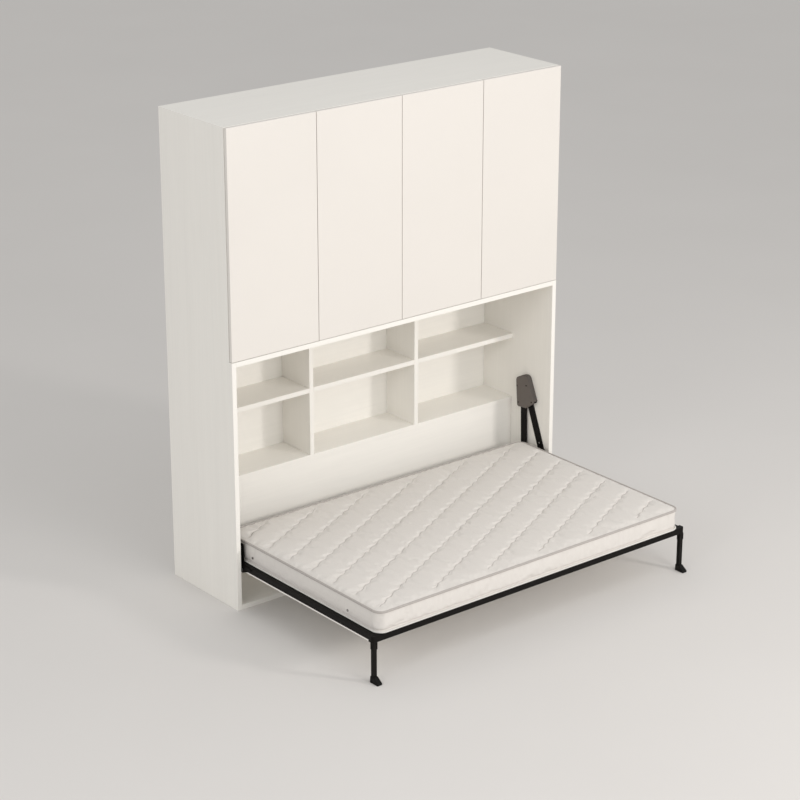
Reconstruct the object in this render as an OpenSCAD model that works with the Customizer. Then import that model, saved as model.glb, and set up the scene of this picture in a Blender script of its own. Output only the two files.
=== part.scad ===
// Wall bed: a single bed that tilts sideways out of a cabinet with shelves behind it and cupboards above.
// Millimetres. X runs along the cabinet, Y from the room to the wall, Z up.
// The origin is on the floor, at the centre of the cabinet's footprint.
// Depths are counted from the front plane, which the door faces and the folded bed share.

/* [Cabinet] */
// Width over the side panels
cabinet_w = 2080; // [2060:1:2120]
// Depth from the front plane to the wall
cabinet_d = 556; // [540:1:640]
// Height
cabinet_h = 2436; // [2300:1:2600]
// Thickness of the carcass boards
board_t = 25; // [22:1:27]
// Thickness of the back panels
back_t = 9; // [6:1:12]
// Space between the back panels and the wall
back_inset = 6; // [2:1:12]
// Depth of the shelf unit's front edge
niche_front = 306; // [290:1:330]
// Height of the top of the niches' floor
niche_floor = 560; // [500:1:620]
// Height of the top of the middle shelves
niche_shelf = 922; // [880:1:960]
// Thickness of the panel under the niches
false_panel_t = 18; // [12:1:20]
// How far that panel stands back from the front edge of the niches' floor
reveal = 3; // [0:0.5:5]

/* [Doors] */
// Thickness of a door
door_t = 18; // [16:1:18]
// Height of the doors' lower edge
door_bottom = 1296; // [1294:1:1340]
// Gap between two doors
door_gap = 3.4; // [3.4:0.1:4]
// Gap between a closed door and the carcass
door_back_gap = 4; // [4:0.5:6]

/* [Bed] */
// How far the front rail stands out from the cabinet
bed_reach = 1030; // [900:1:1032]
// Distance between the outer faces of the end rails
bed_w = 1996; // [1900:1:1996]
// Depth of the rear rail's back face
bed_rear = 176; // [150:1:176]
// Height of the rails' lower face
rail_bottom = 207; // [205:1:212]
// Width and height of a rail
rail = 32; // [28:1:32]
// How far the front rail passes the end rails
rail_overhang = 12; // [4:1:13]
// Wall of a rail
rail_wall = 2; // [1.5:0.5:3]
// Thickness of the board under the bed
skin_t = 9; // [6:1:9]
// Mattress length
mattress_l = 1940; // [1800:10:1940]
// Mattress thickness
mattress_t = 112; // [80:1:112]

/* [Mechanism] */
// Radius of the pivot pins
pivot_r = 5; // [4:0.5:6]
// Running clearance of the pins, on the radius
running = 0.05; // [0.02:0.01:0.1]
// Thickness of the stay plates
stay_t = 5; // [3:0.5:5]
// Depth of the covers, from the side panel
cover_d = 25; // [24:1:30]
// Wall of the covers
cover_wall = 2.5; // [2:0.5:3]
// Width of a leg tube
leg = 20; // [16:1:20]

/* [Hidden] */

front_y = -cabinet_d / 2;
half_w = cabinet_w / 2;
inner_x = half_w - board_t;
back_y = cabinet_d - back_inset - back_t;
top_under = cabinet_h - board_t;
carcass_front = door_t + door_back_gap;
sill_top = door_bottom - 3;
sill_under = sill_top - board_t;

// Niches: three bays of equal width
bay_w = (2 * inner_x - 2 * board_t) / 3;
divider_x = bay_w / 2;

// Upper shelves
upper_shelf_z = 1840;
upper_shelf_front = 90;
shelf_side_gap = 1;
pin_r = 2.5;
pin_l = 8;

// Doors
door_w = cabinet_w / 4 - door_gap;
door_top = cabinet_h - 1;
hinge_from_edge = 10;
hinge_from_face = 6;
cup_r = 17.5;
cup_from_edge = 22.5;
cup_depth = 11.5;
cup_z = [door_bottom + 95, (door_bottom + door_top) / 2, door_top - 95];
hinge_arm_y = [24, 84];
hinge_arm_t = 13;

// Push latches
latch_x = 25;
latch_w = 18;
latch_h = 14;
latch_z = top_under - latch_h / 2;
plunger_r = 4;
plunger_y = [door_t + 0.3, 66];

// Wall brackets
bracket_x = 700;
bracket_w = 90;
bracket_t = 3;
bracket_leg = 55;
wall_hole_r = 4;
wall_hole_gap = 50;
wall_hole_z = top_under - 35;

// Bed
rail_top = rail_bottom + rail;
rail_x = bed_w / 2;
bed_front = -bed_reach;
skin_front = bed_front + 21;
slat_t = 12;
slat_w = 70;
slat_count = 13;
ledge_w = 20;
ledge_t = 3;
centre_rail_y = -430;
mattress_front = bed_front + 3;
mattress_r = 45;
mattress_gap = 0.2;

// The bed's pivot lies as far behind the front plane as it is above the skin's face,
// so that the skin closes flush with the front plane.
pivot_y = 12;
pivot_z = rail_bottom - skin_t + pivot_y;
lug_t = 5;
lug_r = 17;
stay_end_r = 12;
head_y = 168;
head_z = 605;
stay_r = 23;
stay_neck = [24, 240];

// Struts: upper pin on the stay's head, lower pin on the end rail
strut_top = [196, 656];
strut_foot = [184, 222];
strut_x = rail_x + 5;
strut_w = 13;
strut_depth = 40;
strut_l = norm(strut_top - strut_foot);
strut_lean = atan((strut_top[0] - strut_foot[0]) / (strut_top[1] - strut_foot[1]));
housing_l = 360;
rod_r = 4;
rod_l = 330;
rod_eye_r = 9;
rod_eye_w = 7;
strut_seat_t = 0.6;
upright_t = 5;
upright_y = 8;
upright_w = 22;
upright_h = 106;

// Screws that hold the covers and the stays
cover_screw_at = [[163, 667], [120, 584], [236, 648], [225, 556]];
cover_rim = 4;
stay_screw_at = [[228, 684], [226, 602], [128, 612], [72, 360]];

// Legs and feet. A folded leg lies under the skin, so its pivot leaves room for the heel.
foot_w = 30;
foot_h = 32;
heel = 14;
toe = 45;
sole_t = 9;
leg_x = rail_x + rail_overhang - 6 - leg / 2;
leg_y = bed_front + 11;
leg_z = rail_bottom - skin_t - heel - 1;
leg_top = leg_z + leg / 2;
leg_bolt_r = 3;
ear_t = 3;
ear_gap = 0.4;
ear_x = leg / 2 + ear_gap + ear_t;
bolt_head_t = 2;

white = [0.93, 0.91, 0.88];
inside_white = [0.95, 0.94, 0.92];
black = [0.1, 0.09, 0.08];
grey = [0.41, 0.38, 0.36];
steel = [0.72, 0.72, 0.73];
timber = [0.82, 0.7, 0.52];
cloth = [0.9, 0.88, 0.86];

// A box between two limits on each axis, with depths from the front plane
module box(x, y, z)
    translate([x[0], front_y + y[0], z[0]])
        cube([x[1] - x[0], y[1] - y[0], z[1] - z[0]]);

// A round bar along X, from x on
module bar_x(x, y, z, r, l)
    translate([x, front_y + y, z])
        rotate([0, 90, 0])
            cylinder(r = r, h = l, $fn = 48);

// A round bar along Y, from y on
module bar_y(x, y, z, r, l)
    translate([x, front_y + y, z])
        rotate([-90, 0, 0])
            cylinder(r = r, h = l, $fn = 48);

// An outline drawn in depth and height, raised along X from x on
module plate_x(x, t)
    translate([x, front_y, 0])
        rotate([90, 0, 90])
            linear_extrude(t)
                children();

module on_left()
    mirror([1, 0, 0])
        children();

module on_both_sides() {
    children();
    on_left() children();
}

module rounded_rectangle(w, d, r) {
    square([w - 2 * r, d], center = true);
    square([w, d - 2 * r], center = true);
    for (sx = [-1, 1], sy = [-1, 1])
        translate([sx * (w / 2 - r), sy * (d / 2 - r)])
            circle(r, $fn = 32);
}

// ---- Carcass ----

module side_panel()
    color(white)
        plate_x(inner_x, board_t)
            polygon([
                [0, 0], [cabinet_d, 0], [cabinet_d, cabinet_h], [carcass_front, cabinet_h],
                [carcass_front, sill_top], [0, sill_top]
            ]);

module side_panel_right() side_panel();
module side_panel_left() on_left() side_panel();

module top_panel()
    color(white) box([-inner_x, inner_x], [carcass_front, cabinet_d], [top_under, cabinet_h]);

module bottom_panel()
    color(white) box([-inner_x, inner_x], [0, back_y], [0, board_t]);

module sill_panel()
    color(white) box([-inner_x, inner_x], [0, back_y], [sill_under, sill_top]);

module centre_partition()
    color(inside_white)
        box([-board_t / 2, board_t / 2], [carcass_front, back_y], [sill_top, top_under]);

module upper_back_panel()
    color(inside_white)
        difference() {
            box([-inner_x, inner_x], [back_y, back_y + back_t], [sill_top, top_under]);
            wall_holes(back_y - 1, back_t + 2);
        }

module lower_back_panel()
    color(inside_white) box([-inner_x, inner_x], [back_y, back_y + back_t], [board_t, sill_under]);

module wall_holes(y, l)
    for (side = [-1, 1], end = [-1, 1])
        bar_y(side * bracket_x + end * wall_hole_gap / 2, y, wall_hole_z, wall_hole_r, l);

module upper_shelf(x)
    color(inside_white) box(x, [upper_shelf_front, back_y - 1], [upper_shelf_z, upper_shelf_z + board_t]);

module upper_shelf_left() upper_shelf([-inner_x + shelf_side_gap, -board_t / 2 - shelf_side_gap]);
module upper_shelf_right() upper_shelf([board_t / 2 + shelf_side_gap, inner_x - shelf_side_gap]);

module shelf_pins()
    color(steel)
        for (y = [upper_shelf_front + 60, back_y - 60], x = [-inner_x, -board_t / 2 - pin_l, board_t / 2, inner_x - pin_l])
            bar_x(x, y, upper_shelf_z - pin_r, pin_r, pin_l);

module divider(side)
    color(white)
        box([side * (divider_x + board_t / 2) - board_t / 2, side * (divider_x + board_t / 2) + board_t / 2],
            [niche_front, back_y], [niche_floor, sill_under]);

module divider_left() divider(-1);
module divider_right() divider(1);

module niche_shelf(bay)
    color(white)
        translate([bay * (bay_w + board_t), 0, 0])
            box([-bay_w / 2, bay_w / 2], [niche_front, back_y], [niche_shelf - board_t, niche_shelf]);

module niche_shelf_left() niche_shelf(-1);
module niche_shelf_centre() niche_shelf(0);
module niche_shelf_right() niche_shelf(1);

module niche_base_shelf()
    color(white) box([-inner_x, inner_x], [niche_front, back_y], [niche_floor - board_t, niche_floor]);

module false_panel()
    color(white)
        box([-inner_x, inner_x], [niche_front + reveal, niche_front + reveal + false_panel_t],
            [board_t, niche_floor - board_t]);

module wall_brackets()
    color(steel)
        difference() {
            for (side = [-1, 1])
                translate([side * bracket_x, 0, 0]) {
                    box([-bracket_w / 2, bracket_w / 2], [back_y - bracket_t, back_y],
                        [top_under - bracket_leg, top_under]);
                    box([-bracket_w / 2, bracket_w / 2], [back_y - bracket_leg, back_y],
                        [top_under - bracket_t, top_under]);
                }
            wall_holes(back_y - bracket_t - 1, bracket_t + 2);
        }

// ---- Doors, hinges and latches ----

// Doors are numbered 1 to 4 from the left. Doors 1 and 3 hinge on their left edge, 2 and 4 on their right.
function door_left(i) = -half_w + (i - 1) * cabinet_w / 4 + door_gap / 2;
function hinge_side(i) = i % 2 == 1 ? -1 : 1;
function hinge_edge(i) = door_left(i) + (hinge_side(i) > 0 ? door_w : 0);
function cup_x(i) = hinge_edge(i) - hinge_side(i) * cup_from_edge;

module door(i)
    color(white)
        difference() {
            box([door_left(i), door_left(i) + door_w], [0, door_t], [door_bottom, door_top]);
            for (z = cup_z)
                bar_y(cup_x(i), door_t - cup_depth - 0.5, z, cup_r, door_t);
        }

module hinge_cups(i)
    color(steel)
        for (z = cup_z)
            difference() {
                union() {
                    bar_y(cup_x(i), door_t - cup_depth, z, cup_r - 0.1, cup_depth + 1.4);
                    box([cup_x(i) - 7, cup_x(i) + 7], [door_t, door_t + 1.4], [z - 28, z + 28]);
                }
                bar_y(cup_x(i), door_t - cup_depth + 1.2, z, cup_r - 1.6, cup_depth + 2);
            }

module door_1() door(1);
module door_2() door(2);
module door_3() door(3);
module door_4() door(4);
module hinge_cups_1() hinge_cups(1);
module hinge_cups_2() hinge_cups(2);
module hinge_cups_3() hinge_cups(3);
module hinge_cups_4() hinge_cups(4);

// The carcass halves of the hinges: a cross plate on the board, and the arm over it
module hinge_arm(face, into, z) {
    plate = [face, face + into * 4];
    arm = [face + into * 4, face + into * hinge_arm_t];
    box([min(plate), max(plate)], [44, 56], [z - 24, z + 24]);
    box([min(plate), max(plate)], [hinge_arm_y[0] + 6, hinge_arm_y[1]], [z - 8, z + 8]);
    box([min(arm), max(arm)], hinge_arm_y, [z - 7, z + 7]);
}

module hinge_arms()
    color(steel)
        for (z = cup_z, side = [-1, 1]) {
            hinge_arm(side * inner_x, -side, z);
            hinge_arm(side * board_t / 2, side, z);
        }

function latch_at(i) = door_left(i) + (hinge_side(i) > 0 ? 0 : door_w) + hinge_side(i) * latch_x;

module latch_bodies()
    color(inside_white)
        for (i = [1:4])
            difference() {
                box([latch_at(i) - latch_w / 2, latch_at(i) + latch_w / 2], [carcass_front + 2, 92],
                    [top_under - latch_h, top_under]);
                bar_y(latch_at(i), 0, latch_z, plunger_r + running * 4, plunger_y[1] + 4);
            }

module latch_plunger(i)
    color(grey) bar_y(latch_at(i), plunger_y[0], latch_z, plunger_r, plunger_y[1] - plunger_y[0]);

module latch_plunger_1() latch_plunger(1);
module latch_plunger_2() latch_plunger(2);
module latch_plunger_3() latch_plunger(3);
module latch_plunger_4() latch_plunger(4);

// ---- Stays, pins and covers, drawn on the right and mirrored to the left ----

module cover_outline()
    hull() {
        translate([224, 677]) circle(24, $fn = 32);
        translate([188, 700]) circle(20, $fn = 32);
        translate([171, 697]) circle(26, $fn = 32);
        translate([103, 585]) circle(8, $fn = 32);
        translate([168, 554]) circle(20, $fn = 32);
        translate([225, 543]) circle(13, $fn = 32);
    }

module stay()
    color(black)
        difference() {
            union() {
                plate_x(inner_x - stay_t, stay_t)
                    hull() {
                        translate([pivot_y, pivot_z]) circle(stay_end_r, $fn = 32);
                        translate(stay_neck) circle(stay_r, $fn = 32);
                        translate([head_y, head_z]) circle(stay_r, $fn = 32);
                    }
                plate_x(inner_x - stay_t, stay_t)
                    offset(delta = -6)
                        cover_outline();
            }
            bar_x(inner_x - stay_t - 1, pivot_y, pivot_z, pivot_r, stay_t + 2);
            bar_x(inner_x - stay_t - 1, strut_top[0], strut_top[1], pivot_r, stay_t + 2);
            for (p = stay_screw_at)
                bar_x(inner_x - stay_t - 1, p[0], p[1], 2.6, stay_t + 2);
            for (p = cover_screw_at)
                bar_x(inner_x - stay_t - 1, p[0], p[1], 1.7, stay_t + 2);
        }

module stay_right() stay();
module stay_left() on_left() stay();

// The pins that the bed turns on, each with a collar that spaces the lug from the stay
module pivot_pins()
    color(steel)
        on_both_sides() {
            bar_x(rail_x + 0.5, pivot_y, pivot_z, pivot_r, inner_x - rail_x - 0.5);
            bar_x(rail_x + lug_t + 0.5, pivot_y, pivot_z, pivot_r + 4, inner_x - stay_t - rail_x - lug_t - 0.5);
        }

module strut_pins()
    color(steel)
        on_both_sides()
            bar_x(strut_x - strut_w / 2 - 1.5, strut_top[0], strut_top[1], pivot_r,
                inner_x - strut_x + strut_w / 2 + 1.5);

module stay_screws()
    color(steel)
        on_both_sides()
            for (p = stay_screw_at) {
                bar_x(inner_x - stay_t, p[0], p[1], 2.5, stay_t);
                bar_x(inner_x - stay_t - 1.2, p[0], p[1], 4.5, 1.2);
            }

// The cover's outside, with a bevel round its face
module cover_block()
    hull() {
        plate_x(inner_x - cover_d + cover_rim, cover_d - cover_rim) cover_outline();
        plate_x(inner_x - cover_d, 1) offset(delta = -cover_rim) cover_outline();
    }

module cover()
    color(grey)
        difference() {
            union() {
                difference() {
                    cover_block();
                    plate_x(inner_x - cover_d + cover_wall, cover_d) offset(delta = -cover_rim - 1) cover_outline();
                    box([inner_x - cover_d + cover_wall, inner_x + 1], [90, 222], [500, 592]);
                }
                for (p = cover_screw_at)
                    bar_x(inner_x - cover_d + 1, p[0], p[1], 3.6, cover_d - stay_t - 1);
            }
            for (p = cover_screw_at)
                bar_x(inner_x - cover_d - 1, p[0], p[1], 1.7, cover_d + 2);
        }

module cover_right() cover();
module cover_left() on_left() cover();

module cover_screws()
    color(black)
        on_both_sides()
            for (p = cover_screw_at) {
                bar_x(inner_x - cover_d, p[0], p[1], 1.6, cover_d - 1);
                bar_x(inner_x - cover_d - 1.6, p[0], p[1], 4.2, 1.6);
            }

// ---- Struts: local Z runs up the strut from the lower pin to the upper one ----

module strut_frame()
    translate([strut_x, front_y + strut_top[0], strut_top[1]])
        rotate([-strut_lean, 0, 0])
            children();

module strut_housing()
    color(black)
        strut_frame()
            difference() {
                union() {
                    translate([0, 0, -housing_l])
                        linear_extrude(housing_l)
                            rounded_rectangle(strut_w, strut_depth, 4);
                    translate([-strut_w / 2, 0, 0])
                        rotate([0, 90, 0])
                            cylinder(r = strut_depth / 2, h = strut_w, $fn = 48);
                }
                translate([-strut_w, 0, 0])
                    rotate([0, 90, 0])
                        cylinder(r = pivot_r + running, h = 2 * strut_w, $fn = 48);
                translate([0, 0, -housing_l - 1])
                    cylinder(r = rod_r + running * 4, h = housing_l - 40, $fn = 48);
            }

module strut_housing_right() strut_housing();
module strut_housing_left() on_left() strut_housing();

module strut_rod()
    color(steel)
        strut_frame()
            translate([0, 0, -strut_l]) {
                cylinder(r = rod_r, h = rod_l, $fn = 48);
                translate([-rod_eye_w / 2, 0, 0])
                    rotate([0, 90, 0])
                        cylinder(r = rod_eye_r, h = rod_eye_w, $fn = 48);
                translate([rod_eye_w / 2 - 0.5, 0, 0])
                    rotate([0, 90, 0])
                        cylinder(r = 6, h = 2.5, $fn = 48);
            }

module strut_rod_right() strut_rod();
module strut_rod_left() on_left() strut_rod();

// ---- Bed frame ----

// Square tubes along X and along Y
module tube_x(x, y, z)
    difference() {
        box(x, y, z);
        box([x[0] - 1, x[1] + 1], [y[0] + rail_wall, y[1] - rail_wall], [z[0] + rail_wall, z[1] - rail_wall]);
    }

module tube_y(x, y, z)
    difference() {
        box(x, y, z);
        box([x[0] + rail_wall, x[1] - rail_wall], [y[0] - 1, y[1] + 1], [z[0] + rail_wall, z[1] - rail_wall]);
    }

// The front rail has plugged ends with rounded corners
module front_rail()
    color(black) {
        tube_x([-rail_x, rail_x], [bed_front, bed_front + rail], [rail_bottom, rail_top]);
        on_both_sides() rail_end();
    }

module rail_end() {
    r = rail_overhang;
    translate([0, 0, rail_bottom])
        linear_extrude(rail)
            translate([rail_x, front_y + bed_front]) {
                translate([0, r]) square([r, rail - r]);
                intersection() {
                    translate([0, r]) circle(r, $fn = 48);
                    square(r);
                }
            }
}

module rear_rail()
    color(black) tube_x([-rail_x + rail, rail_x - rail], [bed_rear - rail, bed_rear], [rail_bottom, rail_top]);

module end_rail()
    color(black) tube_y([rail_x - rail, rail_x], [bed_front + rail, bed_rear], [rail_bottom, rail_top]);

module end_rail_right() end_rail();
module end_rail_left() on_left() end_rail();

module centre_rail()
    color(black)
        tube_x([-rail_x + rail, rail_x - rail], [centre_rail_y, centre_rail_y + rail],
            [rail_bottom, rail_top - slat_t]);

// Angles that carry the slats' ends
module slat_ledges()
    color(black)
        for (y = [bed_front + rail, bed_rear - rail - ledge_w])
            box([-rail_x + rail, rail_x - rail], [y, y + ledge_w], [rail_top - slat_t - ledge_t, rail_top - slat_t]);

module slats()
    color(timber)
        for (i = [0:slat_count - 1])
            translate([(i - (slat_count - 1) / 2) * (2 * rail_x - 2 * rail - slat_w - 20) / (slat_count - 1), 0, 0])
                box([-slat_w / 2, slat_w / 2], [bed_front + rail + 0.5, bed_rear - rail - 0.5],
                    [rail_top - slat_t, rail_top]);

// Welded to the end rails: the pivot lug, the seat of the strut's lower pin,
// and the upright that keeps the mattress from sliding out of the end
module pivot_lugs()
    color(black)
        on_both_sides() {
            difference() {
                plate_x(rail_x, lug_t)
                    hull() {
                        translate([pivot_y, pivot_z]) circle(lug_r, $fn = 32);
                        translate([-52, rail_top - 12]) circle(8, $fn = 32);
                        translate([86, rail_top - 12]) circle(8, $fn = 32);
                    }
                bar_x(rail_x - 1, pivot_y, pivot_z, pivot_r + running, lug_t + 2);
            }
            plate_x(rail_x, strut_seat_t)
                hull() {
                    translate([strut_foot[0] - 30, strut_foot[1]]) circle(14, $fn = 32);
                    translate(strut_foot) circle(11, $fn = 32);
                }
            plate_x(rail_x - upright_t - 3, upright_t)
                translate([upright_y, rail_top])
                    polygon([[upright_w, 0], [-10, 0], [-4, 4], [0, 14], [0, upright_h - 4], [4, upright_h],
                        [upright_w - 4, upright_h], [upright_w, upright_h - 4]]);
        }

module underside_board()
    color(white)
        box([-rail_x + 2, rail_x - 2], [skin_front, bed_rear], [rail_bottom - skin_t, rail_bottom]);

// Plain body of the mattress, with round corners
module mattress()
    color(cloth)
        translate([0, front_y + (mattress_front + bed_rear) / 2, rail_top + mattress_gap])
            linear_extrude(mattress_t)
                rounded_rectangle(mattress_l, bed_rear - mattress_front, mattress_r);

// ---- Legs ----

module leg_ears(x)
    box([x, x + ear_t], [leg_y - 10.5, leg_y + 9.5], [leg_z - 12, rail_bottom]);

// A bracket under the front rail: two ears, the pad that stops the leg upright, and the bolt
module leg_brackets()
    color(black)
        on_both_sides() {
            leg_ears(leg_x - ear_x);
            leg_ears(leg_x + ear_x - ear_t);
            box([leg_x - leg / 2 - ear_gap, leg_x + leg / 2 + ear_gap], [leg_y - 10.5, leg_y + 9.5],
                [leg_top + 0.4, rail_bottom]);
            bar_x(leg_x - ear_x, leg_y, leg_z, leg_bolt_r, 2 * ear_x);
            bar_x(leg_x - ear_x - bolt_head_t, leg_y, leg_z, 5.5, bolt_head_t);
            bar_x(leg_x + ear_x, leg_y, leg_z, 5.5, bolt_head_t);
        }

// A leg tube. Its top is square at the front, where it stops on the pad, and round behind, to swing past it.
module leg_tube()
    color(black)
        difference() {
            union() {
                box([leg_x - leg / 2, leg_x + leg / 2], [leg_y - leg / 2, leg_y + leg / 2], [sole_t, leg_z]);
                box([leg_x - leg / 2, leg_x + leg / 2], [leg_y - leg / 2, leg_y], [leg_z - 1, leg_top]);
                bar_x(leg_x - leg / 2, leg_y, leg_z, leg / 2, leg);
            }
            box([leg_x - leg / 2 + 1.5, leg_x + leg / 2 - 1.5], [leg_y - leg / 2 + 1.5, leg_y + leg / 2 - 1.5],
                [sole_t - 1, leg_z - 14]);
            bar_x(leg_x - leg, leg_y, leg_z, leg_bolt_r + running, 2 * leg);
        }

module leg_right() leg_tube();
module leg_left() on_left() leg_tube();

// A boot on the leg's end: a collar round the tube, and a toe that slopes down to the room
module foot()
    color(black)
        difference() {
            hull() {
                box([leg_x - leg / 2 - 2.5, leg_x + leg / 2 + 2.5], [leg_y - leg / 2 - 2.5, leg_y + leg / 2 + 2.5],
                    [0, foot_h]);
                for (side = [-1, 1])
                    translate([leg_x + side * (foot_w / 2 - 5), front_y + leg_y - toe + 5, 0])
                        cylinder(r = 5, h = sole_t - 1, $fn = 32);
                for (side = [-1, 1])
                    translate([leg_x + side * (foot_w / 2 - 4), front_y + leg_y + heel - 4, 0])
                        cylinder(r = 4, h = sole_t, $fn = 32);
            }
            box([leg_x - leg / 2, leg_x + leg / 2], [leg_y - leg / 2, leg_y + leg / 2], [sole_t, foot_h + 1]);
        }

module foot_right() foot();
module foot_left() on_left() foot();

side_panel_left();
side_panel_right();
top_panel();
bottom_panel();
sill_panel();
centre_partition();
upper_back_panel();
lower_back_panel();
upper_shelf_left();
upper_shelf_right();
shelf_pins();
divider_left();
divider_right();
niche_shelf_left();
niche_shelf_centre();
niche_shelf_right();
niche_base_shelf();
false_panel();
wall_brackets();
stay_left();
stay_right();
pivot_pins();
strut_pins();
stay_screws();
cover_left();
cover_right();
cover_screws();
door_1();
door_2();
door_3();
door_4();
hinge_cups_1();
hinge_cups_2();
hinge_cups_3();
hinge_cups_4();
hinge_arms();
latch_bodies();
latch_plunger_1();
latch_plunger_2();
latch_plunger_3();
latch_plunger_4();
strut_housing_left();
strut_housing_right();
strut_rod_left();
strut_rod_right();
front_rail();
rear_rail();
end_rail_left();
end_rail_right();
centre_rail();
slat_ledges();
slats();
pivot_lugs();
underside_board();
mattress();
leg_brackets();
leg_left();
leg_right();
foot_left();
foot_right();
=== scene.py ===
"""Looks of the wall bed: materials on the CAD frame, and a quilted mattress made by cloth simulation."""
import math

import bmesh
import bpy
import numpy as np
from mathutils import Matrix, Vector


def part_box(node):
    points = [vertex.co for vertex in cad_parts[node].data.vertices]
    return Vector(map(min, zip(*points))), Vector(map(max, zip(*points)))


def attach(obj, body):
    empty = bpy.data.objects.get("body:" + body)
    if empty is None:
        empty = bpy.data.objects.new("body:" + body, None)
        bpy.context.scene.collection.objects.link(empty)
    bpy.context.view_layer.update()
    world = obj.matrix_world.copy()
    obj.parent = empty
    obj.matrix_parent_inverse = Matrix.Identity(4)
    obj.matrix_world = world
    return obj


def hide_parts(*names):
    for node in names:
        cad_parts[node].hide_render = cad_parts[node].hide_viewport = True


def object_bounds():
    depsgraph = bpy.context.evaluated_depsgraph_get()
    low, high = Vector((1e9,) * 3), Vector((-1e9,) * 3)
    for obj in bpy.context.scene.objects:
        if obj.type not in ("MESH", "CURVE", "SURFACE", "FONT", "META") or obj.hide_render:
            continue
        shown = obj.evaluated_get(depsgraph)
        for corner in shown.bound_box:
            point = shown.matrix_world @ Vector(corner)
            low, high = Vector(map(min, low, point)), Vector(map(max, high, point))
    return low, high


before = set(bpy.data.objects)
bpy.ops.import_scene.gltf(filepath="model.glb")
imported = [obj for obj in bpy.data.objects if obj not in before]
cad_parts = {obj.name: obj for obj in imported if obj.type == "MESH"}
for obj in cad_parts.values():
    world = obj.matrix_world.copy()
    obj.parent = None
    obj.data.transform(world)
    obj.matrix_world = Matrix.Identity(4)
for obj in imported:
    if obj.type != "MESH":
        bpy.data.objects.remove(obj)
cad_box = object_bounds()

SEED = 7
MM = 0.001


# ---- Camera, stage and light ----

def add_camera():
    """Seen from the left and from above, with a long lens."""
    azimuth, elevation, distance = math.radians(-38.98), math.radians(20.515), 11.5
    aim = Vector((-0.3845, -0.735, 1.0889))
    back = Vector((
        math.sin(azimuth) * math.cos(elevation),
        -math.cos(azimuth) * math.cos(elevation),
        math.sin(elevation),
    ))
    data = bpy.data.cameras.new("camera")
    data.sensor_width = 36
    data.lens = 108.04
    data.clip_end = 200
    camera = bpy.data.objects.new("camera", data)
    bpy.context.scene.collection.objects.link(camera)
    camera.location = aim + back * distance
    camera.rotation_euler = back.to_track_quat("Z", "Y").to_euler()
    bpy.context.scene.camera = camera


def add_floor():
    """A plain pale floor that runs well past the view."""
    half = 40
    mesh = bpy.data.meshes.new("floor")
    corners = [(-half, -half, 0), (half, -half, 0), (half, half, 0), (-half, half, 0)]
    mesh.from_pydata(corners, [], [(0, 1, 2, 3)])
    floor = bpy.data.objects.new("floor", mesh)
    bpy.context.scene.collection.objects.link(floor)
    mesh.materials.append(floor_paint())


def add_area_light(name, azimuth, elevation, distance, size, power, colour):
    """Azimuth is counted to the right of the view along +Y, as seen from the room."""
    azimuth, elevation = math.radians(azimuth), math.radians(elevation)
    away = Vector((
        math.sin(azimuth) * math.cos(elevation),
        -math.cos(azimuth) * math.cos(elevation),
        math.sin(elevation),
    ))
    data = bpy.data.lights.new(name, "AREA")
    data.shape = "DISK"
    data.size = size
    data.energy = power
    data.color = colour
    light = bpy.data.objects.new(name, data)
    bpy.context.scene.collection.objects.link(light)
    low, high = cad_box
    centre = (Vector(low) + Vector(high)) / 2
    light.location = centre + away * distance
    light.rotation_euler = away.to_track_quat("Z", "Y").to_euler()


def add_lights():
    """A warm key from the right, wide fills from the front, left and above, and an even sky."""
    add_area_light("key_light", 28, 16, 9, 1.3, 205, (1, 0.96, 0.93))
    add_area_light("front_fill", 0, 20, 8, 3, 120, (1, 0.98, 0.96))
    add_area_light("left_fill", -70, 18, 8, 3, 73, (1, 1, 1))
    add_area_light("high_fill", -15, 60, 8, 4, 42, (1, 1, 1))
    world = bpy.data.worlds.new("studio")
    world.use_nodes = True
    background = world.node_tree.nodes["Background"]
    background.inputs["Color"].default_value = (1, 0.995, 0.985, 1)
    background.inputs["Strength"].default_value = 0.62
    bpy.context.scene.world = world
    bpy.context.scene.view_settings.view_transform = "Standard"


# ---- Material helpers ----

def new_material(name, fixed):
    """A Principled material, with the inputs in fixed set on its sockets."""
    material = bpy.data.materials.new(name)
    material.use_nodes = True
    tree = material.node_tree
    shader = tree.nodes["Principled BSDF"]
    for socket, value in fixed.items():
        shader.inputs[socket].default_value = value
    return material, tree, shader


def add_node(tree, kind, inputs=None, **settings):
    """A node with its settings, and its inputs linked to a socket or set to a value."""
    made = tree.nodes.new(kind)
    for key, value in settings.items():
        setattr(made, key, value)
    for key, value in (inputs or {}).items():
        if isinstance(value, bpy.types.NodeSocket):
            tree.links.new(value, made.inputs[key])
        else:
            made.inputs[key].default_value = value
    return made


def coords(tree, stretch=(1, 1, 1), turn=(0, 0, 0)):
    """Object coordinates, scaled by stretch after a turn in degrees."""
    where = add_node(tree, "ShaderNodeTexCoord").outputs["Object"]
    rotated = add_node(tree, "ShaderNodeMapping", {
        "Vector": where, "Rotation": [math.radians(t) for t in turn]})
    return add_node(tree, "ShaderNodeMapping", {
        "Vector": rotated.outputs["Vector"], "Scale": stretch}).outputs["Vector"]


def noise(tree, vector, scale, detail=3, roughness=0.5):
    return add_node(tree, "ShaderNodeTexNoise", {
        "Vector": vector, "Scale": scale, "Detail": detail, "Roughness": roughness}).outputs["Fac"]


def wave(tree, vector, period, direction, distortion=0, detail=0):
    """Bands a period apart, in metres. The texture itself turns 20 radians a metre at a scale of 1."""
    return add_node(tree, "ShaderNodeTexWave", {
        "Vector": vector, "Scale": 2 * math.pi / 20 / period, "Distortion": distortion, "Detail": detail},
        bands_direction=direction).outputs["Fac"]


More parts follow.
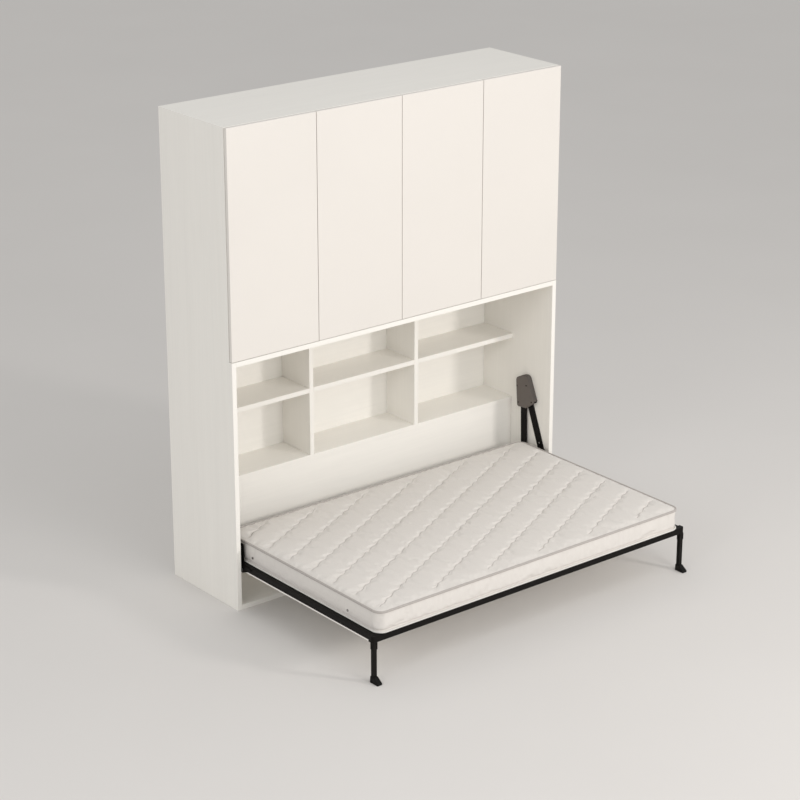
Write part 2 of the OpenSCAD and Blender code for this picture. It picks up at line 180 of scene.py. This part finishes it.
def between(tree, factor, low, high):
    """A number that goes from low to high as factor goes from 0 to 1."""
    return add_node(tree, "ShaderNodeMapRange", {
        "Value": factor, "To Min": low, "To Max": high}).outputs["Result"]


def combine(tree, operation, a, b):
    """A Math node of two sockets or numbers."""
    return add_node(tree, "ShaderNodeMath", {0: a, 1: b}, operation=operation).outputs["Value"]


def mixed(tree, first, second, share):
    """The share of the first texture plus the rest of the second."""
    return combine(
        tree, "ADD", combine(tree, "MULTIPLY", first, share), combine(tree, "MULTIPLY", second, 1 - share))


def faces_along(tree, axis, least):
    """1 where the surface's normal has more than least of an axis in it, either way, and 0 elsewhere."""
    normal = add_node(tree, "ShaderNodeNewGeometry").outputs["Normal"]
    part = add_node(tree, "ShaderNodeSeparateXYZ", {"Vector": normal}).outputs[axis]
    return combine(tree, "GREATER_THAN", combine(tree, "ABSOLUTE", part, 0), least)


def shade(colour, factor):
    """A colour times a factor, with alpha."""
    return (*[c * factor for c in colour], 1)


def blend_colours(tree, factor, first, second):
    """A colour that goes from the first to the second as factor goes from 0 to 1."""
    mix = add_node(tree, "ShaderNodeMix", data_type="RGBA")
    tree.links.new(factor, mix.inputs["Factor"])
    for socket, value in (("A", first), ("B", second)):
        target = next(s for s in mix.inputs if s.name == socket and s.type == "RGBA")
        if isinstance(value, bpy.types.NodeSocket):
            tree.links.new(value, target)
        else:
            target.default_value = value
    return next(s for s in mix.outputs if s.type == "RGBA")


def set_colour(tree, shader, factor, first, second):
    """The shader's colour, from the first to the second as factor goes from 0 to 1."""
    tree.links.new(blend_colours(tree, factor, first, second), shader.inputs["Base Color"])


def set_roughness(tree, shader, factor, low, high):
    tree.links.new(between(tree, factor, low, high), shader.inputs["Roughness"])


def add_bump(tree, shader, height, distance):
    """Height from 0 to 1 stands for distance in metres."""
    bump = add_node(tree, "ShaderNodeBump", {"Height": height, "Distance": distance, "Strength": 1})
    tree.links.new(bump.outputs["Normal"], shader.inputs["Normal"])


# ---- Materials ----

def floor_paint():
    """Pale matt paint with a faint cloudiness."""
    material, tree, shader = new_material("floor_paint", {"Specular IOR Level": 0.2})
    cloud = noise(tree, coords(tree), 0.8, 2)
    set_colour(tree, shader, cloud, (0.73, 0.71, 0.69, 1), (0.76, 0.74, 0.72, 1))
    set_roughness(tree, shader, noise(tree, coords(tree), 40), 0.75, 0.9)
    return material


def melamine(name, colour, along):
    """Board with a faint pressed grain that runs along one axis."""
    material, tree, shader = new_material(name, {"Specular IOR Level": 0.4})
    stretch = [3 if axis == along else 90 for axis in "xyz"]
    streaks = noise(tree, coords(tree, stretch), 1, 6, 0.6)
    broad = noise(tree, coords(tree, [s / 8 for s in stretch]), 1, 3)
    set_colour(tree, shader, mixed(tree, streaks, broad, 0.65), shade(colour, 0.93), shade(colour, 1.04))
    set_roughness(tree, shader, streaks, 0.42, 0.6)
    add_bump(tree, shader, streaks, 0.06 * MM)
    return material


def door_lacquer():
    """Sprayed matt lacquer: a very fine orange peel and a slight cloudiness."""
    colour = (0.8, 0.765, 0.72)
    material, tree, shader = new_material("door_lacquer", {
        "Specular IOR Level": 0.45, "Coat Weight": 0.12, "Coat Roughness": 0.3})
    peel = noise(tree, coords(tree), 420, 2)
    cloud = noise(tree, coords(tree), 2.2, 3)
    set_colour(tree, shader, cloud, shade(colour, 0.98), shade(colour, 1.02))
    set_roughness(tree, shader, noise(tree, coords(tree), 14, 4), 0.36, 0.46)
    add_bump(tree, shader, peel, 0.02 * MM)
    return material


def powder_coat(name):
    """Satin black powder on steel, with the fine bumps of the baked powder and rubbed edges."""
    material, tree, shader = new_material(name, {"Specular IOR Level": 0.1})
    grit = noise(tree, coords(tree), 900, 2, 0.6)
    handling = noise(tree, coords(tree), 18, 5, 0.65)
    edge = add_node(tree, "ShaderNodeNewGeometry").outputs["Pointiness"]
    worn = add_node(tree, "ShaderNodeMapRange", {
        "Value": edge, "From Min": 0.53, "From Max": 0.64, "To Min": 0, "To Max": 0.3}).outputs["Result"]
    base = blend_colours(tree, handling, (0.0035, 0.003, 0.0026, 1), (0.0075, 0.0065, 0.0058, 1))
    set_colour(tree, shader, worn, base, (0.04, 0.036, 0.032, 1))
    set_roughness(tree, shader, handling, 0.42, 0.56)
    add_bump(tree, shader, grit, 0.05 * MM)
    return material


def zinc_plate():
    """Bright zinc with the cloudy grain of the plating bath."""
    material, tree, shader = new_material("zinc_plate", {"Metallic": 1})
    cells = add_node(tree, "ShaderNodeTexVoronoi", {"Vector": coords(tree), "Scale": 260}).outputs["Distance"]
    cloud = noise(tree, coords(tree), 45, 4)
    set_colour(tree, shader, cloud, (0.52, 0.52, 0.53, 1), (0.68, 0.68, 0.69, 1))
    set_roughness(tree, shader, cells, 0.24, 0.42)
    add_bump(tree, shader, noise(tree, coords(tree, (1, 1, 14)), 220, 2), 0.02 * MM)
    return material


def polished_rod():
    """Ground and chromed piston rod, with faint rings from the grinding."""
    material, tree, shader = new_material("polished_rod", {"Metallic": 1})
    rings = noise(tree, coords(tree, (1, 1, 60)), 30, 3)
    set_colour(tree, shader, rings, (0.6, 0.6, 0.62, 1), (0.78, 0.78, 0.79, 1))
    set_roughness(tree, shader, rings, 0.1, 0.22)
    add_bump(tree, shader, rings, 0.008 * MM)
    return material


def moulded_plastic(name, colour, grain_scale, roughness, relief, gloss=0.4):
    """Injection moulding with a spark-eroded grain."""
    material, tree, shader = new_material(name, {"Specular IOR Level": gloss})
    cells = add_node(tree, "ShaderNodeTexVoronoi", {
        "Vector": coords(tree), "Scale": grain_scale}, feature="SMOOTH_F1").outputs["Distance"]
    cloud = noise(tree, coords(tree), 30, 4)
    set_colour(tree, shader, cloud, shade(colour, 0.88), shade(colour, 1.1))
    set_roughness(tree, shader, cells, roughness - 0.06, roughness + 0.08)
    add_bump(tree, shader, cells, relief)
    return material


def cover_plastic():
    """Grey moulding with painted shade: its bevelled rim and sides are coloured a little darker than its
    face.
    """
    material, tree, shader = new_material("cover_plastic", {"Specular IOR Level": 0.35})
    cells = add_node(tree, "ShaderNodeTexVoronoi", {
        "Vector": coords(tree), "Scale": 700}, feature="SMOOTH_F1").outputs["Distance"]
    cloud = noise(tree, coords(tree), 30, 4)
    # The darker rim grey is painted shade for the bevelled rim and the sides, not a different plastic.
    face_grey, painted_rim_shade_grey = (0.15, 0.13, 0.117), (0.11, 0.096, 0.087)
    face = blend_colours(tree, cloud, shade(face_grey, 0.9), shade(face_grey, 1.08))
    rim = blend_colours(tree, cloud, shade(painted_rim_shade_grey, 0.9), shade(painted_rim_shade_grey, 1.1))
    # Painted shade: every face that does not look along X gets the darker rim grey.
    set_colour(tree, shader, faces_along(tree, "X", 0.93), rim, face)
    set_roughness(tree, shader, cells, 0.52, 0.66)
    add_bump(tree, shader, cells, 0.12 * MM)
    return material


def birch_ply():
    """Bare bent birch: long grain along the slat, plies on its edges."""
    material, tree, shader = new_material("birch_ply", {"Specular IOR Level": 0.3})
    fibres = noise(tree, coords(tree, (160, 4, 160)), 1, 6, 0.6)
    figure = wave(tree, coords(tree, (1, 0.12, 1)), 45 * MM, "X", 9, 3)
    plies = wave(tree, coords(tree), 2.4 * MM, "Z", 0.4, 1)
    face = blend_colours(tree, mixed(tree, fibres, figure, 0.7), (0.5, 0.34, 0.19, 1), (0.74, 0.58, 0.4, 1))
    side = blend_colours(tree, plies, (0.42, 0.27, 0.15, 1), (0.72, 0.55, 0.37, 1))
    set_colour(tree, shader, faces_along(tree, "Z", 0.5), side, face)
    set_roughness(tree, shader, fibres, 0.5, 0.72)
    add_bump(tree, shader, fibres, 0.12 * MM)
    return material


def ticking(name, directions, turn):
    """Mattress knit: rows of small loops that cross at right angles, along two of the turned axes."""
    colour = (0.8, 0.765, 0.725)
    period = 2.6 * MM
    material, tree, shader = new_material(name, {
        "Specular IOR Level": 0.15, "Sheen Weight": 0.2, "Sheen Roughness": 0.5})
    rotated = coords(tree, turn=(0, 0, turn))
    first, second = (wave(tree, rotated, period, axis, 0.6, 1) for axis in directions)
    loops = combine(tree, "MULTIPLY", first, second)
    fuzz = noise(tree, coords(tree), 1500, 2)
    cloud = noise(tree, coords(tree), 9, 4)
    base = blend_colours(tree, cloud, shade(colour, 0.97), shade(colour, 1.03))
    set_colour(tree, shader, loops, shade(colour, 0.92), base)
    set_roughness(tree, shader, fuzz, 0.82, 0.96)
    add_bump(tree, shader, mixed(tree, loops, fuzz, 0.8), 0.3 * MM)
    return material


def woven_tape(name, colour, period):
    """Tape or thread: a close diagonal twill."""
    material, tree, shader = new_material(name, {
        "Specular IOR Level": 0.2, "Sheen Weight": 0.2, "Sheen Roughness": 0.45})
    twill = wave(tree, coords(tree), period, "DIAGONAL", 0.3, 1)
    cloud = noise(tree, coords(tree), 60, 3)
    base = blend_colours(tree, cloud, shade(colour, 0.92), shade(colour, 1.06))
    set_colour(tree, shader, twill, shade(colour, 0.72), base)
    set_roughness(tree, shader, twill, 0.9, 0.75)
    add_bump(tree, shader, twill, 0.25 * MM)
    return material


# ---- Finishing the CAD nodes ----

def paint(names, material):
    """Gives CAD nodes one material."""
    for name in names:
        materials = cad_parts[name].data.materials
        materials.clear()
        materials.append(material)


def soften(names, width, segments=2):
    """Rounds the edges of CAD nodes by modifiers: whole faces first, then the bevel."""
    for name in names:
        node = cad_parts[name]
        weld = node.modifiers.new("weld", "WELD")
        weld.merge_threshold = 0.01 * MM
        faces = node.modifiers.new("faces", "DECIMATE")
        faces.decimate_type = "DISSOLVE"
        faces.angle_limit = math.radians(1)
        bevel = node.modifiers.new("bevel", "BEVEL")
        bevel.width = width
        bevel.segments = segments
        bevel.limit_method = "ANGLE"
        bevel.angle_limit = math.radians(40)
        bevel.harden_normals = False
        normals = node.modifiers.new("normals", "WEIGHTED_NORMAL")
        normals.keep_sharp = True


def nodes_named(*starts):
    return [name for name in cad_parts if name.startswith(starts)]


def finish_boards():
    colour = (0.935, 0.912, 0.862)
    upright = ["side_panel_left", "side_panel_right", "centre_partition", "divider_left", "divider_right"]
    flat = ["top_panel", "bottom_panel", "sill_panel", "upper_back_panel", "lower_back_panel",
            "niche_base_shelf", "false_panel", "underside_board",
            *nodes_named("upper_shelf", "niche_shelf")]
    paint(upright, melamine("melamine_upright", colour, "z"))
    paint(flat, melamine("melamine_flat", colour, "x"))
    soften(upright + flat, 1.2 * MM)


def finish_doors():
    doors = nodes_named("door_")
    paint(doors, door_lacquer())
    soften(doors, 1.0 * MM)


def finish_steel():
    frame_steel = ["front_rail", "rear_rail", "end_rail_left", "end_rail_right", "centre_rail", "slat_ledges",
                   "pivot_lugs", "leg_brackets", "stay_left", "stay_right", "leg_left", "leg_right"]
    paint(frame_steel, powder_coat("powder_coat"))
    soften(frame_steel, 1.2 * MM)
    housings = nodes_named("strut_housing")
    paint(housings + ["cover_screws"], powder_coat("powder_coat_strut"))
    soften(housings, 1.0 * MM)


def finish_fittings():
    zinc = ["shelf_pins", "wall_brackets", "pivot_pins", "strut_pins", "stay_screws", "hinge_arms",
            *nodes_named("hinge_cups")]
    paint(zinc, zinc_plate())
    soften(["wall_brackets", "hinge_arms", "strut_pins", "stay_screws", "cover_screws"], 0.4 * MM)
    paint(nodes_named("strut_rod"), polished_rod())


def finish_mouldings():
    covers = nodes_named("cover_left", "cover_right")
    paint(covers, cover_plastic())
    soften(covers, 1.1 * MM, 3)
    feet = nodes_named("foot")
    paint(feet, moulded_plastic("foot_plastic", (0.006, 0.0055, 0.005), 500, 0.55, 0.08 * MM, 0.15))
    soften(feet, 2 * MM, 3)
    plungers = nodes_named("latch_plunger")
    paint(["latch_bodies"], moulded_plastic("latch_plastic", (0.8, 0.8, 0.79), 400, 0.45, 0.03 * MM))
    paint(plungers, moulded_plastic("plunger_plastic", (0.35, 0.35, 0.35), 400, 0.45, 0.03 * MM))
    soften(["latch_bodies"], 0.6 * MM)


def finish_slats():
    paint(["slats"], birch_ply())
    soften(["slats"], 2 * MM, 3)


# ---- Mattress ----

MATTRESS_LOW, MATTRESS_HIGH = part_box("mattress")
HALF_L = (MATTRESS_HIGH.x - MATTRESS_LOW.x) / 2
HALF_W = (MATTRESS_HIGH.y - MATTRESS_LOW.y) / 2
CORNER_R = 45 * MM
MIDDLE = np.array([(MATTRESS_LOW.x + MATTRESS_HIGH.x) / 2, (MATTRESS_LOW.y + MATTRESS_HIGH.y) / 2, 0])
BINDING_Z = MATTRESS_HIGH.z - 6 * MM
HEM_Z = MATTRESS_LOW.z + 5 * MM

# The quilting lines run along the diagonals of the top's cells, so that each one follows cell edges.
COLUMNS, ROWS, ROWS_BETWEEN_LINES, FIRST_LINE_ROW = 118, 140, 20, -8
ROW_STEP = 2 * HALF_W / ROWS
QUILT_TURN = math.atan2(ROW_STEP, 2 * HALF_L / COLUMNS)
QUILT_MARGIN = 46 * MM
QUILT_SPACING = ROWS_BETWEEN_LINES * ROW_STEP * math.cos(QUILT_TURN)
MOST_LINES = 40
# Rows of points crowd towards the lines, where the cover bends most.
CROWDING = 1.4
# Each line strays a little to both sides in waves, and is stitched deeper once a wave, at its kink.
QUILT_WAVE = 4 * MM
QUILT_WAVE_LENGTH = 76 * MM
WAVE_REACH = 25 * MM
QUILT_DEPTH = 4 * MM
KINK_DEPTH = 9 * MM
KINK_WIDTH = 0.7
# The waves and the crowding fade out between these distances from the edge.
FADE_START, FADE_END = 10 * MM, 60 * MM
CROWN = 10 * MM
CROWN_REACH = 26 * MM
HEM_TUCK = 9 * MM
PUCKER = 0.5 * MM
MOST_BLOWN = 7 * MM


def rounded_grid():
    """Columns by rows of points over a rectangle with round corners, about its middle."""
    x, y = np.meshgrid(
        np.linspace(-HALF_L, HALF_L, COLUMNS + 1), np.linspace(-HALF_W, HALF_W, ROWS + 1), indexing="ij")
    s = np.clip((abs(x) - HALF_L + CORNER_R) / CORNER_R, 0, 1)
    t = np.clip((abs(y) - HALF_W + CORNER_R) / CORNER_R, 0, 1)
    round_x = HALF_L - CORNER_R + CORNER_R * s * np.sqrt(1 - t * t / 2)
    round_y = HALF_W - CORNER_R + CORNER_R * t * np.sqrt(1 - s * s / 2)
    return np.where(s > 0, round_x * np.sign(x), x), np.where(t > 0, round_y * np.sign(y), y)


def distance_to_edge(x, y):
    """How far inside the mattress's outline a point is."""
    over_x, over_y = abs(x) - (HALF_L - CORNER_R), abs(y) - (HALF_W - CORNER_R)
    outside = np.hypot(np.maximum(over_x, 0), np.maximum(over_y, 0))
    return CORNER_R - outside - np.minimum(np.maximum(over_x, over_y), 0)


def smooth_step(value, low, high):
    """From 0 at low to 1 at high, with a smooth start and end."""
    t = np.clip((value - low) / (high - low), 0, 1)
    return t * t * (3 - 2 * t)


def wander(along, line):
    """How far each quilting line strays to its side, and where it kinks, from 0 to 1."""
    drift = np.random.default_rng(SEED).uniform(0, 2 * math.pi, (2, MOST_LINES))
    drift = drift[:, line.astype(int) + MOST_LINES // 2]
    uneven = 0.6 * np.sin(along / (70 * MM) + drift[1])
    phase = 2 * math.pi * along / QUILT_WAVE_LENGTH + drift[0] + uneven
    kink = np.exp(-((np.mod(phase, 2 * math.pi) - math.pi) / KINK_WIDTH) ** 2)
    return QUILT_WAVE * np.sin(phase - 0.5 * np.sin(phase)), kink


def grid_triangles(number):
    """Two triangles for each cell of a grid of point numbers."""
    a, b = number[:-1, :-1].ravel(), number[1:, :-1].ravel()
    c, d = number[1:, 1:].ravel(), number[:-1, 1:].ravel()
    return np.concatenate([np.stack([a, b, c], 1), np.stack([a, c, d], 1)])


def quilted_top():
    """The top before it is inflated: its points, triangles, sewn points, places on the lines, and rim.

    A point's place is how far along its line and how far aside of it the point is, its distance to the
    edge, how much the line kinks there, and the line's number.
    """
    x, y = rounded_grid()
    column, row = np.meshgrid(np.arange(COLUMNS + 1), np.arange(ROWS + 1), indexing="ij")
    from_first = (row - ROWS // 2) - (column - COLUMNS // 2) - FIRST_LINE_ROW
    line = np.round(from_first / ROWS_BETWEEN_LINES)
    even = (from_first - line * ROWS_BETWEEN_LINES) * ROW_STEP * math.cos(QUILT_TURN)
    aside = np.sign(even) * QUILT_SPACING / 2 * abs(2 * even / QUILT_SPACING) ** CROWDING
    along = x * math.cos(QUILT_TURN) + y * math.sin(QUILT_TURN)
    edge = distance_to_edge(x, y)
    stray, kink = wander(along, line)
    sway = stray * np.exp(-(aside / WAVE_REACH) ** 2) + aside - even
    sway *= smooth_step(edge, FADE_START, FADE_END)
    sewn = (from_first % ROWS_BETWEEN_LINES == 0) & (edge > QUILT_MARGIN)
    crown = CROWN * (1 - np.exp(-edge / CROWN_REACH))
    z = BINDING_Z + crown - np.where(sewn, QUILT_DEPTH + KINK_DEPTH * kink, 0)
    points = np.stack([x - sway * math.sin(QUILT_TURN), y + sway * math.cos(QUILT_TURN), z], -1)
    number = column * (ROWS + 1) + row
    rim = np.concatenate([number[:-1, 0], number[-1, :-1], number[:0:-1, -1], number[0, :0:-1]])
    place = np.stack([along, abs(aside), edge, kink, line], -1)
    return points.reshape(-1, 3), grid_triangles(number), sewn.ravel(), place.reshape(-1, 5), rim


def add_border(points, faces, sewn, place, rim, rings=13):
    """The side of the mattress, in rings from the rim of the top to the hem, and tucked in above it."""
    last, count = rim, len(points)
    reach = np.array([HALF_L - CORNER_R, HALF_W - CORNER_R])
    out = points[rim, :2] - np.clip(points[rim, :2], -reach, reach)
    out /= np.linalg.norm(out, axis=1, keepdims=True)
    for z in np.linspace(BINDING_Z, HEM_Z, rings + 1)[1:]:
        ring = points[rim].copy()
        ring[:, 2] = z
        tucked = HEM_Z < z < HEM_Z + 12 * MM
        ring[:, :2] -= out * HEM_TUCK * tucked
        new = np.arange(count, count + len(rim))
        count += len(rim)
        points = np.concatenate([points, ring])
        place = np.concatenate([place, place[rim]])
        sewn = np.concatenate([sewn, np.full(len(rim), tucked)])
        after, new_after = np.roll(last, -1), np.roll(new, -1)
        wall = np.stack([last, new, new_after], 1), np.stack([last, new_after, after], 1)
        faces = np.concatenate([faces, *wall])
        last = new
    sewn[rim] = True
    sewn[last] = True
    return points, faces, sewn, place


def make_mesh(name, points, faces):
    """A smooth-shaded object from points and faces."""
    mesh = bpy.data.meshes.new(name)
    mesh.from_pydata(np.asarray(points).tolist(), [], [tuple(map(int, face)) for face in faces])
    mesh.shade_smooth()
    piece = bpy.data.objects.new(name, mesh)
    bpy.context.scene.collection.objects.link(piece)
    return piece


def inflate(points, faces, sewn, pressure=4, frames=12):
    """Blows the cover up by cloth simulation, held where it is sewn, and returns its new points."""
    piece = make_mesh("cover_in_simulation", points, faces)
    group = piece.vertex_groups.new(name="sewn")
    group.add(np.nonzero(sewn)[0].tolist(), 1, "REPLACE")
    cloth = piece.modifiers.new("cloth", "CLOTH")
    settings = cloth.settings
    settings.quality = 4
    settings.mass = 0.2
    settings.tension_stiffness = 20
    settings.compression_stiffness = 8
    settings.bending_stiffness = 0.4
    settings.air_damping = 2
    settings.shrink_min = -0.025
    settings.use_pressure = True
    settings.uniform_pressure_force = pressure
    settings.vertex_group_mass = "sewn"
    settings.pin_stiffness = 5
    settings.effector_weights.gravity = 0
    cloth.point_cache.frame_start = 1
    cloth.point_cache.frame_end = frames
    for step in range(1, frames + 1):
        bpy.context.scene.frame_set(step)
    evaluated = piece.evaluated_get(bpy.context.evaluated_depsgraph_get())
    blown = np.empty(len(points) * 3)
    evaluated.data.vertices.foreach_get("co", blown)
    bpy.context.scene.frame_set(1)
    bpy.data.objects.remove(piece)
    return blown.reshape(-1, 3)


def cap_motion(points, blown, cap):
    """The blown points, with no point further than cap from where it began."""
    motion = blown - points
    length = np.maximum(np.linalg.norm(motion, axis=1, keepdims=True), 1e-9)
    return points + motion * cap * np.tanh(length / cap) / length


def split_triangles(points, faces):
    """Each triangle becomes four, cut at the middles of its sides."""
    sides = np.sort(faces[:, [0, 1, 1, 2, 2, 0]].reshape(-1, 2), axis=1)
    sides, number = np.unique(sides, axis=0, return_inverse=True)
    middles = points[sides].mean(axis=1)
    a, b, c = faces.T
    ab, bc, ca = (number.reshape(-1, 3) + len(points)).T
    quarters = [np.stack(t, 1) for t in ((a, ab, ca), (ab, b, bc), (ca, bc, c), (ab, bc, ca))]
    return np.concatenate([points, middles]), np.concatenate(quarters)


def relax(points, faces, free, rounds=2):
    """Moves each point towards the mean of its neighbours, by the share in free."""
    sides = np.unique(np.sort(faces[:, [0, 1, 1, 2, 2, 0]].reshape(-1, 2), axis=1), axis=0)
    ends, others = np.concatenate([sides, sides[:, ::-1]]).T
    neighbours = np.bincount(ends, minlength=len(points))[:, None]
    for _ in range(rounds):
        total = np.stack([np.bincount(ends, points[others, k], len(points)) for k in range(3)], 1)
        points = points + (total / neighbours - points) * free[:, None]
    return points


def pucker(points, place):
    """Small gathers that run out from the stitching, deepest where a line kinks."""
    along, aside, edge, kink, _ = place.T
    near = np.exp(-aside / (20 * MM)) * (1 - np.exp(-aside / (5 * MM))) * smooth_step(edge, 30 * MM, 70 * MM)
    ripple = np.sin(2 * math.pi * along / (29 * MM)) + 0.7 * np.sin(2 * math.pi * along / (43 * MM) + 1.3)
    lifted = points.copy()
    lifted[:, 2] += PUCKER * ripple * near * (1 + 2 * kink)
    return lifted


def close_underneath(piece):
    """Fills the open hem with the flat base panel."""
    shape = bmesh.new()
    shape.from_mesh(piece.data)
    rim = [edge for edge in shape.edges if edge.is_boundary]
    filled = bmesh.ops.holes_fill(shape, edges=rim, sides=0)["faces"]
    for face in filled:
        face.material_index = 2
        face.smooth = False
    bmesh.ops.recalc_face_normals(shape, faces=shape.faces)
    shape.to_mesh(piece.data)
    shape.free()


def make_mattress():
    """The stitched and inflated cover. Returns it with the points of each quilting line."""
    points, faces, sewn, place, rim = quilted_top()
    top_faces, top_points = len(faces), len(points)
    points, faces, sewn, place = add_border(points, faces, sewn, place, rim)
    blown = inflate(points, faces, sewn)
    points = cap_motion(points, blown, MOST_BLOWN)
    table = np.concatenate([points, place, sewn[:, None]], axis=1)
    on_top = np.tile(np.arange(len(faces)) < top_faces, 4)
    table, faces = split_triangles(table, faces)
    points, place, sewn = table[:, :3], table[:, 3:8], table[:, 8] > 0.99
    points = relax(points, faces, free=0.3 * ~sewn)
    points = pucker(points, place) + MIDDLE
    piece = make_mesh("mattress_cover", points, faces)
    for material in (ticking("ticking_top", "XY", 0), ticking("ticking_border", "XZ", 45),
                     ticking("ticking_base", "XY", 45)):
        piece.data.materials.append(material)
    piece.data.polygons.foreach_set("material_index", np.where(on_top, 0, 1))
    close_underneath(piece)
    on_line = sewn & (place[:, 2] > QUILT_MARGIN / 2)
    lines = []
    for number in np.unique(place[on_line, 4]):
        chosen = points[on_line & (place[:, 4] == number)]
        order = np.argsort(place[on_line & (place[:, 4] == number), 0])
        lines.append(chosen[order])
    return piece, lines


def equal_steps(path, step):
    """Points along a path, one step apart."""
    length = np.concatenate([[0], np.cumsum(np.linalg.norm(np.diff(path, axis=0), axis=1))])
    at = np.arange(0, length[-1], step)
    return np.stack([np.interp(at, length, path[:, k]) for k in range(3)], 1)


def make_stitches(lines, step=5.5 * MM, stitch=4.2 * MM, thread_r=0.65 * MM, sides=5):
    """Lockstitches in the bottom of the quilting: each one is a short thread that dives at both ends."""
    starts, ends = [], []
    for line in lines:
        path = equal_steps(line, step)
        if len(path) > 2:
            starts.append(path[:-1])
            ends.append(path[:-1] + (path[1:] - path[:-1]) * stitch / step)
    starts, ends = np.concatenate(starts), np.concatenate(ends)
    ahead = ends - starts
    ahead /= np.linalg.norm(ahead, axis=1, keepdims=True)
    aside = np.cross(ahead, (0, 0, 1))
    points, faces = [], []
    rings = ((0, -0.4 * MM, 0.5), (0.25, 0.5 * MM, 1), (0.75, 0.5 * MM, 1), (1, -0.4 * MM, 0.5))
    for share, lift, swell in rings:
        middle = starts + (ends - starts) * share + (0, 0, lift)
        for k in range(sides):
            turn = 2 * math.pi * k / sides
            out = aside * math.cos(turn) + np.array((0, 0, math.sin(turn)))
            points.append(middle + thread_r * swell * out)
    count = len(starts)
    for ring in range(len(rings) - 1):
        for k in range(sides):
            a, b = ring * sides + k, ring * sides + (k + 1) % sides
            faces.append(np.arange(count)[:, None] + np.array([a, b, b + sides, a + sides]) * count)
    for ring in (0, len(rings) - 1):
        faces.append(np.arange(count)[:, None] + (ring * sides + np.arange(sides)) * count)
    every = [face for group in faces for face in group]
    piece = make_mesh("quilt_stitches", np.concatenate(points), every)
    piece.data.materials.append(woven_tape("sewing_thread", (0.45, 0.415, 0.385), 0.4 * MM))
    return piece


def rounded_loop(grow, step=6 * MM):
    """Points round the mattress, and the way out at each, on its outline grown by some metres."""
    flat_x, flat_y = HALF_L - CORNER_R, HALF_W - CORNER_R
    radius = CORNER_R + grow
    points, out = [], []
    for quarter, (sx, sy) in enumerate(((1, 1), (-1, 1), (-1, -1), (1, -1))):
        turns = np.linspace(quarter, quarter + 1, 17) * math.pi / 2
        arc = np.stack([np.cos(turns), np.sin(turns)], 1)
        corner = np.array([sx * flat_x, sy * flat_y])
        points.append(corner + radius * arc)
        out.append(arc)
        run = 2 * (flat_x if quarter % 2 == 0 else flat_y)
        count = int(run / step)
        along = np.array([-arc[-1][1], arc[-1][0]])
        points.append(points[-1][-1] + along * np.linspace(0, run, count)[1:-1, None])
        out.append(np.repeat(arc[-1:], count - 2, axis=0))
    return np.concatenate(points), np.concatenate(out)


def make_binding(name, z, grow, width, height, material, sides=12):
    """A tape sewn over a cord round the mattress: a closed tube that narrows a little at each seam stitch."""
    path, out = rounded_loop(grow)
    count = len(path)
    pull = 1 - 0.06 * (np.arange(count) % 2)
    points = []
    for k in range(sides):
        turn = 2 * math.pi * k / sides
        flat = path + out * (width * math.cos(turn) * pull)[:, None]
        points.append(np.column_stack([flat, z + height * math.sin(turn) * pull]))
    here, after = np.arange(count), (np.arange(count) + 1) % count
    faces = []
    for k in range(sides):
        a, b = k * count, (k + 1) % sides * count
        faces.extend(np.stack([here + a, after + a, after + b, here + b], 1))
    piece = make_mesh(name, np.concatenate(points) + MIDDLE, faces)
    piece.data.materials.append(material)
    return piece


def turned(name, profile, centre, axis, material, sides=32):
    """A turned piece from (radius, height) pairs about an axis through centre. The ends are closed."""
    points, faces = [], []
    frame_turn = Vector(axis).to_track_quat("Z", "Y")
    for radius, height in profile:
        for k in range(sides):
            turn = 2 * math.pi * k / sides
            spot = Vector((radius * math.cos(turn), radius * math.sin(turn), height))
            points.append(Vector(centre) + frame_turn @ spot)
    for ring in range(len(profile) - 1):
        for k in range(sides):
            a, b = ring * sides + k, ring * sides + (k + 1) % sides
            faces.append((a, b, b + sides, a + sides))
    faces.append(tuple(range(sides - 1, -1, -1)))
    faces.append(tuple(range((len(profile) - 1) * sides, len(profile) * sides)))
    piece = make_mesh(name, points, faces)
    piece.data.materials.append(material)
    return piece


def add_vents():
    """Two small eyelets in each end of the mattress, which let it breathe."""
    grille = moulded_plastic("vent_plastic", (0.13, 0.115, 0.11), 900, 0.5, 0.02 * MM)
    profile = [(r * MM, h * MM) for r, h in (
        (6, -1), (6.4, 0.4), (5.9, 1.3), (4.8, 1.8), (3.7, 1.5), (3.1, 0.5), (2.9, -0.8))]
    z = MATTRESS_LOW.z + 0.375 * (MATTRESS_HIGH.z - MATTRESS_LOW.z)
    for side, name in ((-1, "left"), (1, "right")):
        for number, share in ((1, -0.62), (2, 0.64)):
            spot = MIDDLE + np.array([side * (HALF_L + 5 * MM), share * HALF_W, z])
            vent = turned(f"vent_{name}_{number}", profile, spot, (side, 0, 0), grille)
            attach(vent, "bed")


def add_mattress():
    """The cover with its stitches, bindings and vents, which all ride with the bed."""
    cover, lines = make_mattress()
    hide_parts("mattress")
    stitches = make_stitches(lines)
    top_tape = make_binding("top_binding", BINDING_Z, 1.5 * MM, 5 * MM, 6.5 * MM,
                            woven_tape("binding_tape", (0.57, 0.53, 0.5), 1.3 * MM))
    hem_tape = make_binding("hem_binding", HEM_Z, 3 * MM, 5 * MM, 4.5 * MM,
                            woven_tape("hem_tape", (0.87, 0.85, 0.81), 1.1 * MM))
    for piece in (cover, stitches, top_tape, hem_tape):
        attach(piece, "bed")
    add_vents()


add_camera()
add_floor()
add_lights()
finish_boards()
finish_doors()
finish_steel()
finish_fittings()
finish_mouldings()
finish_slats()
add_mattress()
